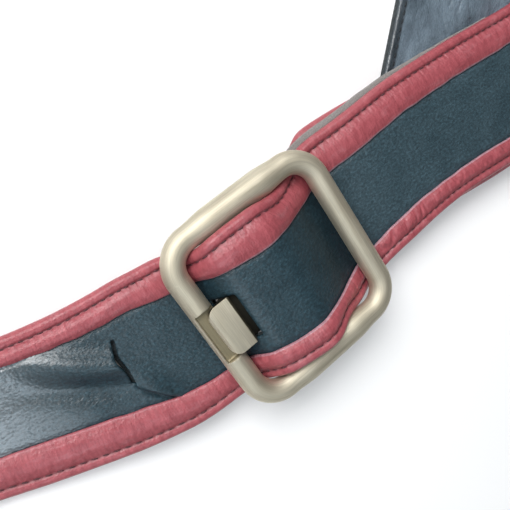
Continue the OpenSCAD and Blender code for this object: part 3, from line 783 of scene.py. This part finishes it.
def stitches(name, place, start, end, seed):
    """A row of separate stitches along the middle of what place gives at a length, offset and height."""
    middle = np.arange(math.ceil(start / STITCH) + 0.5, math.floor(end / STITCH)) * STITCH
    u = np.array([-1.0, -0.85, -0.5, 0.0, 0.5, 0.85, 1.0])[None, :, None]
    r = np.array([0.1, 0.22, 0.28, 0.3, 0.28, 0.22, 0.1])[None, :, None]
    dip = np.array([-0.3, -0.14, 0.0, 0.03, 0.0, -0.14, -0.3])[None, :, None]
    a = -np.arange(6)[None, None, :] * math.pi / 3
    s = middle[:, None, None] + u + 0 * a
    wander = 0.12 * noise(middle / 2, 0, seed)[:, None, None]
    v = r * np.cos(a) + wander + 0.1 * u
    h = dip + 0.8 * r * np.sin(a) + 0 * s
    points = place(s, v, h)
    n, m = u.size, a.size
    one = capped_faces(n, m)
    faces = [[i + k * n * m for i in f] for k in range(len(middle)) for f in one]
    lay = np.stack(np.broadcast_arrays(s, v, h), -1)
    return new_object(name, points, faces, lay)


# The height of the sewing over the middle of a strap, and how far from the ends it stops
SEWING_H, SEWING_END = 1.6, 2.0


def sewing(name, path, start, end, side):
    """The stitches sunk in the groove of a binding."""
    def place(s, v, h):
        return path.place(s, side * (edge_at(path, s, side) - SEWING) + v, h + SEWING_H)

    return stitches(name, place, start, end, 31 + int(side > 0))


def leather(name, light, dark, rough, size, depth, shine, polish=None, rim=None, speckle=0.34, tail=None):
    """Dyed leather with pebbles of a size, which may be polished, dark at its rim, or painted on its tail:
    with painted shade where it bends under the right bar and a paler painted sheen beyond.
    """
    m, tree, skin = new_material(name)
    skin.inputs["Specular IOR Level"].default_value = shine
    dye = ramp(tree, lumps(tree, (0.07, 0.1, 0.1), 6, 0.65), [(0.3, dark), (0.7, light)])
    if rim is not None:
        edge = ramp(tree, lie_part(tree, "Z", 0.1), [(0.27, rim), (0.36, 1.0)])
        dye = times(tree, dye, edge)
    speck = ramp(tree, lumps(tree, (0.9 / size, 1.3 / size, 1.3 / size), 4, 0.8),
                 [(0.36, speckle), (0.52, 0.4 + 0.6 * speckle), (0.66, 1.0)])
    dye = times(tree, dye, speck)
    # Painted light on the tail: painted shade where it bends under the right bar, then a paler painted sheen right
    # of the buckle
    if tail is not None:
        painted_bend_shade, painted_tail_sheen = tail
        painted_tail_light = ramp(tree, lie_part(tree, "X", -0.01),
                    [(0.06, 1.0), (0.18, painted_bend_shade), (0.25, painted_bend_shade), (0.4, painted_tail_sheen)])
        dye = times(tree, dye, painted_tail_light)
    uneven = ramp(tree, lumps(tree, (0.5 / size, 0.9 / size, 0.9), 4, 0.65),
                  [(0.3, rough - 0.09), (0.7, rough + 0.09)])
    first = raised(tree, pebbles(tree, (1.1 / size, 1.4 / size, 1.4)), 0.3 * size, depth)
    second = raised(tree, lumps(tree, (0.9 / size, 1.3 / size, 1.2), 3, 0.7), 0.35 * size, depth, first)
    join(tree, skin, [("Base Color", dye), ("Roughness", uneven), ("Normal", second)])
    if polish is not None:
        skin.inputs["Coat Roughness"].default_value = 0.35
        skin.inputs["Coat IOR"].default_value = 2.3
        coat = ramp(tree, lie_part(tree, "X", 0.01), [(0.70, 0.0), (1.0, polish)])
        join(tree, skin, [("Coat Weight", coat), ("Coat Normal", first)])
    return m


def rose_leather():
    """Soft rose leather with fine wrinkles across it, paler where it is worn and along its cut edge.

    Painted shade makes it darker in the groove that the sewing lies in.
    """
    m, tree, skin = new_material("rose_leather")
    along, across = lie_part(tree, "X", 0.01), lie_part(tree, "Z", 0.1)
    rose, deep, pale = (0.40, 0.091, 0.107), (0.18, 0.037, 0.045), (0.48, 0.2, 0.22)
    # Painted shade: darker along the groove that the sewing lies in
    groove = ramp(tree, across, [(0.26, rose), (0.32, deep), (0.39, rose)])
    rubbed = ramp(tree, lumps(tree, (0.12, 0.4, 0.1), 5, 0.65), [(0.54, 0.0), (0.74, 0.6)])
    cut_edge = ramp(tree, along, [(0.0, (0.48, 0.28, 0.32)), (0.4, (0.42, 0.12, 0.14))])
    at_edge = ramp(tree, across, [(0.945, 0.0), (0.965, 1.0)])
    dye = blend(tree, blend(tree, groove, pale, rubbed), cut_edge, at_edge)
    worn = ramp(tree, lumps(tree, (0.3, 0.16, 0.1), 6, 0.65), [(0.3, (0.82, 0.75, 0.77)), (0.7, 1.0)])
    fine = ramp(tree, lumps(tree, (1.0, 0.2, 0.2), 3, 0.6), [(0.36, (0.8, 0.73, 0.75)), (0.6, 1.0)])
    dye = times(tree, times(tree, dye, worn), fine)
    uneven = ramp(tree, lumps(tree, (0.6, 0.5, 0.3), 4), [(0.3, 0.34), (0.7, 0.5)])
    folds = raised(tree, lumps(tree, (0.8, 0.25, 0.15), 4, 0.6), 0.8, 0.4)
    grain = raised(tree, pebbles(tree, (1.6, 1.2, 1.2)), 0.15, 0.6, folds)
    join(tree, skin, [("Base Color", dye), ("Roughness", uneven), ("Normal", grain)])
    return m


def satin_metal():
    """Warm satin plating, brushed along the bar.

    Painted shade makes it darker on the notch's floor and much darker on the tongue's arm and sides.
    """
    m, tree, skin = new_material("nickel")
    skin.inputs["Metallic"].default_value = 1.0
    lines = lumps(tree, (0.05, 3.2, 3.2), 5, 0.7)
    tint = ramp(tree, lumps(tree, (0.06, 0.5, 0.5), 4),
                [(0.3, (0.58, 0.53, 0.415)), (0.7, (0.71, 0.665, 0.54))])
    streak = ramp(tree, lines, [(0.32, 0.78), (0.6, 1.0)])
    # Painted shade from the lie's third number: darker on the notch's floor, near black on the tongue's arm and
    # sides
    painted_shade = ramp(tree, lie_part(tree, "Z", 0.5),
                [(0.05, 1.0), (0.5, (0.55, 0.52, 0.44)), (0.95, 0.1)])
    plate = times(tree, times(tree, tint, streak), painted_shade)
    uneven = ramp(tree, lines, [(0.25, 0.57), (0.75, 0.69)])
    brushed = raised(tree, lines, 0.04, 0.4)
    join(tree, skin, [("Base Color", plate), ("Roughness", uneven), ("Normal", brushed)])
    return m


def cloth(name, light, dark, rough):
    """Thread or woven stiffener in two shades."""
    m, tree, skin = new_material(name)
    shade = ramp(tree, lumps(tree, (2.0, 2.0, 2.0), 2), [(0.35, dark), (0.65, light)])
    skin.inputs["Roughness"].default_value = rough
    weave = raised(tree, lumps(tree, (3.0, 6.0, 6.0), 2), 0.1, 0.5)
    join(tree, skin, [("Base Color", shade), ("Normal", weave)])
    return m


looks = {
    # The navy face: painted shade where its tail bends under the right bar, a paler painted sheen on the tail
    # beyond
    "navy_leather": leather("navy_leather", (0.036, 0.080, 0.104), (0.022, 0.054, 0.072), rough=0.4, size=1.0,
                            depth=0.42, shine=0.5, polish=1.0, tail=(0.6, (1.8, 1.45, 1.38))),
    "navy_lining": leather("navy_lining", (0.045, 0.06, 0.066), (0.03, 0.043, 0.05), rough=0.65, size=0.9,
                           depth=0.4, shine=0.4),
    "rose_leather": rose_leather(),
    "core_webbing": cloth("core_webbing", (0.27, 0.255, 0.245), (0.20, 0.19, 0.18), 0.9),
    "sewing_thread": cloth("sewing_thread", (0.10, 0.026, 0.033), (0.05, 0.013, 0.017), 0.7),
    "nickel": satin_metal(),
}
# The tops of the tabs: navy painted paler, a painted sheen for the light the tabs reflect, and darker at the rim
tab_leather = leather("tab_leather", (0.23, 0.3, 0.365), (0.07, 0.1, 0.125), rough=0.3, size=1.0, depth=0.35,
                      shine=0.8, rim=0.3, speckle=0.7)
tab_thread = cloth("tab_thread", (0.012, 0.016, 0.02), (0.006, 0.008, 0.01), 0.6)
for part in frame["record"]["subparts"]:
    obj = frame["nodes"][part["node"]]
    obj.data.materials.clear()
    obj.data.materials.append(looks[part["material_slot"]])


def soft(obj, slot, *nodes, look=None):
    """Dress a piece of the strap in place of its CAD solids."""
    obj.data.materials.append(look or looks[slot])
    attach(obj, "strap")
    if nodes:
        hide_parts(*nodes)
    return obj


def metal(obj, body, part):
    """Plate a piece of the buckle in place of its CAD solid."""
    obj.data.materials.append(looks["nickel"])
    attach(obj, body)
    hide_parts(part)


# How deep the folds are in the long strap's far binding and in both bindings of the short strap
FAR_GATHER, SHORT_GATHER = 0.06, 0.02


def long_puff(s):
    """How far the bindings of the long strap stand up, least under the left bar."""
    return 0.85 + 0.15 * ease((s - S_BAR) / 40) - 0.5 * bump((s - S_BAR) / 6)


def near_gather(s):
    """How deep the folds of the long strap's near binding are, deepest right of the buckle."""
    return FAR_GATHER + (0.6 * bump((s + 46) / 24) + 0.2 * bump((s + 90) / 30))


def build_edges(strap, path, s, puff, gathers):
    """Both bindings of a strap and their sewing."""
    for side, word in SIDES.items():
        soft(binding(f"{word}_binding_of_{strap}_strap", path, s, side, puff, gathers[side]),
             "rose_leather", f"{strap}_binding_{word}")
        soft(sewing(f"{word}_thread_of_{strap}_strap", path, s[0] + SEWING_END, s[-1] - SEWING_END, side),
             "sewing_thread", f"{strap}_thread_{word}")


# How far the core and the lining are cut back from the slot in use, and half the slit in the core
CORE_BACK, LINING_BACK, CORE_SLIT = 0.9, 0.3, 0.9


def build_long_strap():
    s = steps_along(S_TIP, S_END, S_VIEW, fine=0.65, coarse=3.0)
    s = np.unique(np.r_[s, SLIT_S - SLIT_HALF, SLIT_S + SLIT_HALF])
    v = np.linspace(-0.8, 0.8, 61)
    soft(layer("face_of_long_strap", long_path, s, v, face_top, FACE_T, (USED, SPARE)),
         "navy_leather", "long_face")
    s = steps_along(S_TIP, S_END, S_VIEW, fine=1.5, coarse=3.0)
    s = np.unique(np.r_[s, SLIT_S - CORE_SLIT, SLIT_S + CORE_SLIT])
    v = np.linspace(-0.94, 0.94, 39)
    drawn_back = USED._replace(half_s=USED.half_s + CORE_BACK, half_v=USED.half_v + CORE_BACK,
                               r=USED.r + CORE_BACK)
    open_slit = SPARE._replace(half_s=CORE_SLIT)
    soft(layer("core_of_long_strap", long_path, s, v, CORE_TOP, CORE_T, (drawn_back, open_slit)),
         "core_webbing", "long_core")
    longer = USED._replace(half_s=USED.half_s + LINING_BACK)
    soft(layer("lining_of_long_strap", long_path, s, v, LINING_TOP, LINING_T, (longer,)),
         "navy_lining", "long_lining")
    s = steps_along(S_TIP, S_END, S_VIEW, fine=0.3, coarse=2.5)
    build_edges("long", long_path, s, long_puff(s), {1: FAR_GATHER, -1: near_gather(s)})


# The stretch of the tail along which its raw edge shows
RAW_FROM, RAW_TO = 118, 24


def build_lip():
    """The raw edge of the tail's stiffener, which shows past its far binding right of the buckle."""
    s = np.linspace(long_path.find(RAW_FROM), long_path.find(RAW_TO), 120)[:, None]
    out = 0.25 + 1.6 * ease((s + RAW_FROM) / 70) + 0.12 * noise(s / 6, 0, 71)
    d = np.array([-1.0, 0.0, 0.8, 1.0, 1.0, 0.0, -1.0])[None, :]
    h = np.array([-0.9, -0.9, -0.95, -1.05, -1.35, -1.4, -1.4])[None, :]
    v = edge_at(long_path, s, 1) + np.where(d > 0, d * out, d)
    lay = np.stack(np.broadcast_arrays(s, v, h), -1)
    soft(tube("raw_edge_of_tail", long_path.place(s, v, h), lay), "core_webbing")


def build_tail_end():
    """The strip folded over the tip of the tail, between the two side bindings."""
    span = STRAP_HALF - SEAM + INSET - BINDING_W
    v = np.linspace(-span, span, 60)[:, None]
    under_d = np.array([0.08, 0.3, 0.7, 1.4, 2.6, 9.6, 10.0])
    d = np.r_[PROFILE_D, under_d, 9.9, 0.9, 0.9, 9.9][None, :]
    crown = 0.3 * ease((PROFILE_D - 3.9) / 1.5) * (1 - ease((PROFILE_D - 8.4) / 1.5))
    under = -np.minimum(profile_height(under_d), HALF_EDGE)
    h = np.r_[profile_height(PROFILE_D) + crown, under, -1.3, -1.3, 1.3, 1.3][None, :]
    h = h + 0.05 * noise(v / 2, d / 3, 41) * (h > 1.4)
    points = long_path.place(S_TIP - INSET + d, v, h)
    lay = np.stack(np.broadcast_arrays(v, d, d), -1)
    soft(tube("end_binding_of_tail", points, lay), "rose_leather", "tail_end_binding")


# The short strap's opening for the tongue: its reach past the bar and below it, half width and corners
EYE_X, EYE_Z, EYE_HALF, EYE_R = 5.8, 4.6, 8.3, 0.5

# Where the short strap starts to be modelled finely
SHORT_VIEW = 75


def build_short_strap():
    s0, s1, s2 = short_path.s[0], short_path.find(TRIM_X), short_path.s[-1]
    rows = short_path.rows
    after = np.arange(len(rows)) > np.argmin(rows[:, 0])
    back = np.argmax(after & ((rows[:, 0] > EYE_X) | (rows[:, 2] < FRAME_Z - EYE_Z)))
    eye_from, eye_to = short_path.find(EYE_X), short_path.s[back]
    eye = Slot((eye_from + eye_to) / 2, 0.0, (eye_to - eye_from) / 2, EYE_HALF, EYE_R, 0.0)
    close = (short_path.find(SHORT_VIEW), s2)
    s = steps_along(s0, s2, close, fine=0.7, coarse=3.0)
    soft(layer("face_of_short_strap", short_path, s, np.linspace(-1, 1, 47), HALF_BODY, FACE_T, (eye,)),
         "navy_leather", "short_face")
    s = steps_along(s0, s1, close, fine=1.5, coarse=3.0)
    v = np.linspace(-0.97, 0.97, 21)
    soft(layer("core_of_short_strap", short_path, s, v, CORE_TOP, CORE_T), "core_webbing", "short_core")
    soft(layer("lining_of_short_strap", short_path, s, v, LINING_TOP, LINING_T),
         "navy_lining", "short_lining")
    s = steps_along(s0, s1, close, fine=0.6, coarse=2.5)
    build_edges("short", short_path, s, 0.0, {side: SHORT_GATHER for side in SIDES})


def tab_outline(x, y):
    """How far a point lies outside a tab that is round at the hole and square at -X."""
    box = np.maximum(np.abs(y) - TAB_W / 2, -TAB_LEN - x)
    return np.where(x > 0, np.hypot(x, y) - TAB_W / 2, box)


def tab_hole(x, y):
    """How far a point lies outside the keyhole of a tab."""
    end = -HOLE_D / 2 - SLIT_LEN
    slit = np.maximum(np.abs(y) - SLIT_W / 2, np.abs(x - end / 2) + end / 2)
    return np.minimum(np.minimum(np.hypot(x, y) - HOLE_D / 2, np.hypot(x - end, y) - SLIT_W), slit)


# The top of a tab, how far in from its edge it is sewn, and how far from its square end the sewing stops
TAB_TOP, TAB_SEWING, TAB_SEAM_END = 2 * TAB_T + SEAM, 2.6, 4.0


def build_tab(word, place, angle, seed):
    """Both leathers of an end tab, and the sewing along its edge."""
    half = TAB_W / 2
    x0 = np.r_[np.arange(-TAB_LEN, -16, 1.0), np.arange(-16, 6, 0.5), np.arange(6, half + 0.9, 0.8)]
    y0 = np.r_[np.arange(-half, -6, 0.8), np.linspace(-5.7, 5.7, 39), np.arange(half, 6, -0.8)[::-1]]
    x, y = (a.copy() for a in np.meshgrid(x0, y0, indexing="ij"))
    inside = middle_of(tab_outline(x, y)) < 0
    hole = middle_of(tab_hole(x, y)) < 0
    snap(x, y, tab_outline, ~inside)
    snap(x, y, tab_hole, hole)
    deep = np.maximum(0, np.minimum(-tab_outline(x, y), tab_hole(x, y)))
    turn = math.radians(angle)
    faces = grid_faces(len(x0), len(y0), keep=inside & ~hole, flip=True).tolist()
    lay = np.stack([x, y, deep], -1)

    def put(px, py, pz):
        return np.stack([place[0] + px * math.cos(turn) - py * math.sin(turn),
                         place[1] + px * math.sin(turn) + py * math.cos(turn), pz], -1)

    round_off = 0.6 * np.square(np.clip(1 - deep / 1.1, 0, 1))
    groove = 0.22 * bump((deep - TAB_SEWING) / 0.45)
    crease = 1 - np.abs(noise((x + 0.6 * y) / 7, (y - 0.4 * x) / 4, seed + 2))
    crumple = 0.5 * noise(x / 9, y / 8, seed) + 0.06 * noise(x / 2.4, y / 1.8, seed + 1) - 0.4 * crease ** 8
    top = TAB_TOP - round_off - groove + crumple * ease((deep - 3) / 5)
    # The top leather is the paler tab leather, a painted sheen
    for name, slot, level, look in ((f"{word}_tab_top", "navy_leather", top, tab_leather),
                                    (f"{word}_tab_back", "navy_lining", TAB_T + 0 * x, None)):
        obj = new_object("leather_of_" + name, put(x, y, level), faces, lay)
        thicken(obj, TAB_T)
        soft(obj, slot, name, look=look)

    end_r, run = half - TAB_SEWING, TAB_LEN - TAB_SEAM_END

    def seam(s, v, h):
        """Along one side of the tab, round its end and back along the other."""
        r = end_r + v
        a = np.clip((s - run) / end_r, 0, math.pi)
        ahead = np.where(s < run, s - run, np.minimum(0, run + end_r * math.pi - s))
        return put(ahead + r * np.sin(a), -r * np.cos(a), TAB_TOP - 0.05 + h)

    soft(stitches(f"sewing_of_{word}_tab", seam, 0, 2 * run + end_r * math.pi, seed), "navy_lining",
         look=tab_thread)


# The notch's floor, corner radius and half length, the level of a bar that isn't cut, and the highest cut
# as a share of the bar's radius
NOTCH_FLOOR, NOTCH_R, NOTCH_HALF, UNCUT, CUT_SHARE = 1.4, 0.7, 8.7, 20.0, 0.784

# The height of the lip outside the notch, where it starts and its run, and where the painted shade on the notch's
# floor ends
LIP, LIP_FROM, LIP_RUN, NOTCH_SHADE_TO = 0.8, 2.3, 0.4, 2.4
STRAIGHT_X, STRAIGHT_Y = FRAME_X - CORNER_MID_R, FRAME_Y - CORNER_MID_R


def frame_plan():
    """The middle line of the frame's bar, as x, y, the way out, and the level it is cut down to."""
    turn = np.radians(np.linspace(0, 90, 12))
    corner = np.c_[NOTCH_HALF - NOTCH_R + NOTCH_R * np.sin(turn),
                   NOTCH_FLOOR + NOTCH_R - NOTCH_R * np.cos(turn)]
    rim = np.array([[0, 3.2], [0.05, 3.4], [0.18, 3.6], [0.45, UNCUT]]) + (NOTCH_HALF, 0)
    plain = np.c_[np.linspace(NOTCH_HALF + 0.6, STRAIGHT_Y, 24), np.full(24, UNCUT)]
    flat = np.c_[np.linspace(0.3, NOTCH_HALF - NOTCH_R, 12)[:-1], np.full(11, NOTCH_FLOOR)]
    upper = np.r_[flat, corner, rim, plain]
    left = np.r_[upper[::-1], upper * (-1, 1)]
    rows = [(-FRAME_X, y, -1, 0, level) for y, level in left]
    quarter = np.radians(np.linspace(0, 90, 24))[1:-1]

    def bend(sx, sy, start):
        for a in quarter + math.radians(start):
            c, s = math.cos(a), math.sin(a)
            rows.append((sx * STRAIGHT_X + CORNER_MID_R * c, sy * STRAIGHT_Y + CORNER_MID_R * s, c, s, UNCUT))

    bend(-1, -1, 180)
    rows += [(x, -FRAME_Y, 0, -1, UNCUT) for x in np.linspace(-STRAIGHT_X, STRAIGHT_X, 48)]
    bend(1, -1, 270)
    rows += [(FRAME_X, y, 1, 0, UNCUT) for y in np.linspace(-STRAIGHT_Y, STRAIGHT_Y, 48)]
    bend(1, 1, 0)
    rows += [(x, FRAME_Y, 0, 1, UNCUT) for x in np.linspace(STRAIGHT_X, -STRAIGHT_X, 48)]
    bend(-1, 1, 90)
    return np.array(rows)


def build_frame():
    """The round bar of the buckle, swept round its corners, with the notch cut in its left bar."""
    plan = frame_plan()
    swell = ease((STRAIGHT_X - np.abs(plan[:, 0])) / SWELL) * (np.abs(plan[:, 1]) > STRAIGHT_Y + 1)
    r = (BAR_R + (SIDE_R - BAR_R) * swell)[:, None]
    level = plan[:, 4:5]
    brim = np.arcsin(np.minimum(level / r, CUT_SHARE))
    share = np.linspace(0, 1, 25)[None, :]
    over = brim + (math.pi - 2 * brim) * share
    flat_x, flat_z = r * np.cos(brim) * (1 - 2 * share), np.minimum(r * np.sin(over), level)
    low = level < r * CUT_SHARE
    bar_top = np.sqrt(np.maximum(0, r * r - flat_x * flat_x))
    lip = np.minimum(LIP * ease((flat_x - LIP_FROM) / LIP_RUN), bar_top - level)
    top_x = np.where(low, flat_x, r * np.cos(over))
    top_z = np.where(low, level + np.maximum(0, lip), flat_z)
    rest = math.pi - brim + (math.pi + 2 * brim) * np.linspace(0, 1, 50)[None, 1:-1]
    out = np.concatenate([top_x, r * np.cos(rest)], 1)
    z = np.concatenate([top_z, r * np.sin(rest)], 1)
    a = np.concatenate([over, rest], 1)
    points = np.stack([plan[:, :1] + out * plan[:, 2:3], plan[:, 1:2] + out * plan[:, 3:4], FRAME_Z + z], -1)
    n, m = points.shape[:2]
    along = np.r_[0, np.cumsum(np.hypot(*np.diff(plan[:, :2], axis=0).T))][:, None]
    # Painted shade on the notch's flat floor, which the tongue's tip shades
    painted_shade = low * (np.arange(m) < share.size) * (out < NOTCH_SHADE_TO)
    lay = np.stack(np.broadcast_arrays(along, BAR_R * a, painted_shade), -1)
    i, k = np.meshgrid(np.arange(n), np.arange(m), indexing="ij")
    j, l = (i + 1) % n, (k + 1) % m
    quads = np.stack([i * m + k, j * m + k, j * m + l, i * m + l], -1).reshape(-1, 4)
    obj = new_object("frame_of_buckle", points, quads.tolist(), lay)
    obj.data.set_sharp_from_angle(angle=math.radians(35))
    metal(obj, "buckle", "buckle_frame")


# The rounding of the tongue's edges, where its tip starts and how much wider it is, where its arm ends,
# and the mark of its painted shade in the lie
ROUNDED, TIP_X, TIP_Z, TIP_WIDER, ARM_X, ARM_Z, PAINTED_SHADE_MARK = 0.55, -18.5, 2.0, 0.08, -23.0, 3.0, 2


def build_tongue():
    """The tongue's solid with its sharp edges rounded over and its tip drawn wider."""
    bm = bmesh.new()
    bm.from_mesh(frame["nodes"]["tongue"].data)
    bmesh.ops.remove_doubles(bm, verts=bm.verts, dist=1e-6)
    bmesh.ops.dissolve_limit(bm, angle_limit=math.radians(1), verts=bm.verts, edges=bm.edges)
    sharp = [e for e in bm.edges if len(e.link_faces) == 2 and e.calc_face_angle() > math.radians(25)]
    bmesh.ops.bevel(bm, geom=sharp, offset=ROUNDED * MM, segments=3, profile=0.5, affect="EDGES",
                    clamp_overlap=True)
    bmesh.ops.triangulate(bm, faces=bm.faces)
    mesh = bpy.data.meshes.new("tongue_of_buckle")
    bm.to_mesh(mesh)
    bm.free()
    place = np.empty(len(mesh.vertices) * 3)
    mesh.vertices.foreach_get("co", place)
    place = place.reshape(-1, 3)
    tip = (place[:, 0] / MM < BUCKLE[0] + TIP_X) & (place[:, 2] / MM > FRAME_Z + TIP_Z)
    place[tip, 1] += TIP_WIDER * (place[tip, 1] - BUCKLE[1] * MM)
    mesh.vertices.foreach_set("co", place.ravel())
    facing = np.empty(place.size)
    mesh.vertices.foreach_get("normal", facing)
    facing = facing.reshape(-1, 3)
    lay = (place / MM - BUCKLE)[:, [1, 0, 2]]
    # Painted shade on the tongue's arm where it shows in the slot and on its sides, which face away from the light
    arm = (lay[:, 2] < FRAME_Z + ARM_Z) & (lay[:, 1] > ARM_X)
    shaded_sides = np.clip(2 * np.maximum(facing[:, 0], np.abs(facing[:, 1])) - 0.7, 0, 1)
    lay[:, 2] = PAINTED_SHADE_MARK * np.maximum(arm, shaded_sides)
    set_lie(mesh, lay)
    mesh.set_sharp_from_angle(angle=math.radians(30))
    metal(linked("tongue_of_buckle", mesh), "tongue", "tongue")


build_long_strap()
build_lip()
build_tail_end()
build_short_strap()
build_tab("long", TUCK_HOLE, TUCK_ANGLE + 180, 51)
build_tab("short", SHORT_HOLE, 0, 61)
build_frame()
build_tongue()
